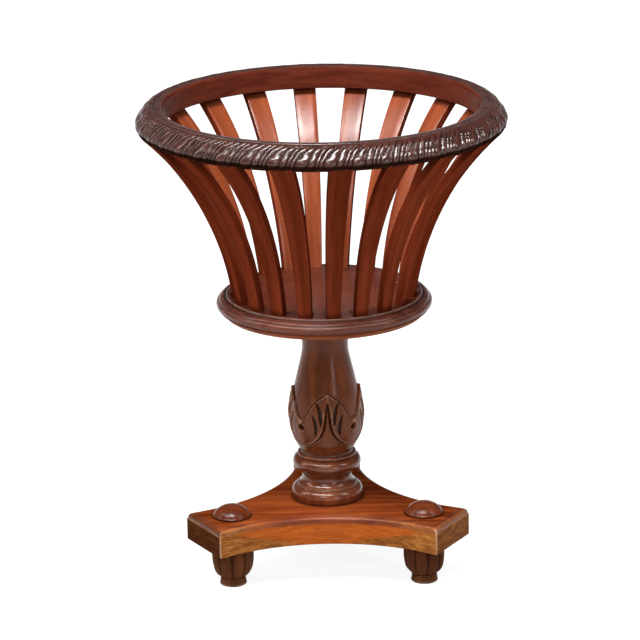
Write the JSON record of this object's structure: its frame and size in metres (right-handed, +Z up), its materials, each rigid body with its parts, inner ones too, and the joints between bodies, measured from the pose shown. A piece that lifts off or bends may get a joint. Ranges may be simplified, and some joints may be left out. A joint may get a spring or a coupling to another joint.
{
  "type": "slatted jardiniere",
  "caption": "Free-standing wooden jardiniere: a flared open basket of curved slats with a carved rim, on a turned column and a concave-sided tripod platform with bun feet.",
  "frame": {"origin": "on the floor under the column's axis, at the centre of the footprint of the rim", "axes": "+Z up along the column, -Y towards the front, where two arms of the platform point left and right and the third points back along +Y"},
  "size_m": [0.508, 0.508, 0.6681],
  "materials": {
    "slat_mahogany": "french polished, red-brown, straight grain along the slat",
    "rim_mahogany": "dark, glossy polish over carving",
    "turned_mahogany": "dark, glossy polish, turned and carved",
    "dark_turned_mahogany": "dark, glossy polish, turned",
    "floor_mahogany": "worn polish, red-brown",
    "platform_mahogany": "polished, orange-brown with wavy figure on the edges",
    "hidden_wood": "bare hardwood"
  },
  "bodies": {
    "root": {"platform": "platform_mahogany", "column": "turned_mahogany", "column_wedge": "hidden_wood", "basket_floor": "floor_mahogany", "rim_dowels": "hidden_wood", "slat_01": "slat_mahogany", "slat_02": "slat_mahogany", "slat_03": "slat_mahogany", "slat_04": "slat_mahogany", "slat_05": "slat_mahogany", "slat_06": "slat_mahogany", "slat_07": "slat_mahogany", "slat_08": "slat_mahogany", "slat_09": "slat_mahogany", "slat_10": "slat_mahogany", "slat_11": "slat_mahogany", "slat_12": "slat_mahogany", "slat_13": "slat_mahogany", "slat_14": "slat_mahogany", "slat_15": "slat_mahogany", "slat_16": "slat_mahogany", "slat_17": "slat_mahogany", "slat_18": "slat_mahogany", "slat_19": "slat_mahogany", "slat_20": "slat_mahogany", "rim_segment_1": "rim_mahogany", "rim_segment_2": "rim_mahogany", "rim_segment_3": "rim_mahogany", "rim_segment_4": "rim_mahogany", "foot_back": "dark_turned_mahogany", "foot_left": "dark_turned_mahogany", "foot_right": "dark_turned_mahogany", "boss_back": "dark_turned_mahogany", "boss_left": "dark_turned_mahogany", "boss_right": "dark_turned_mahogany"}
  },
  "joints": []
}
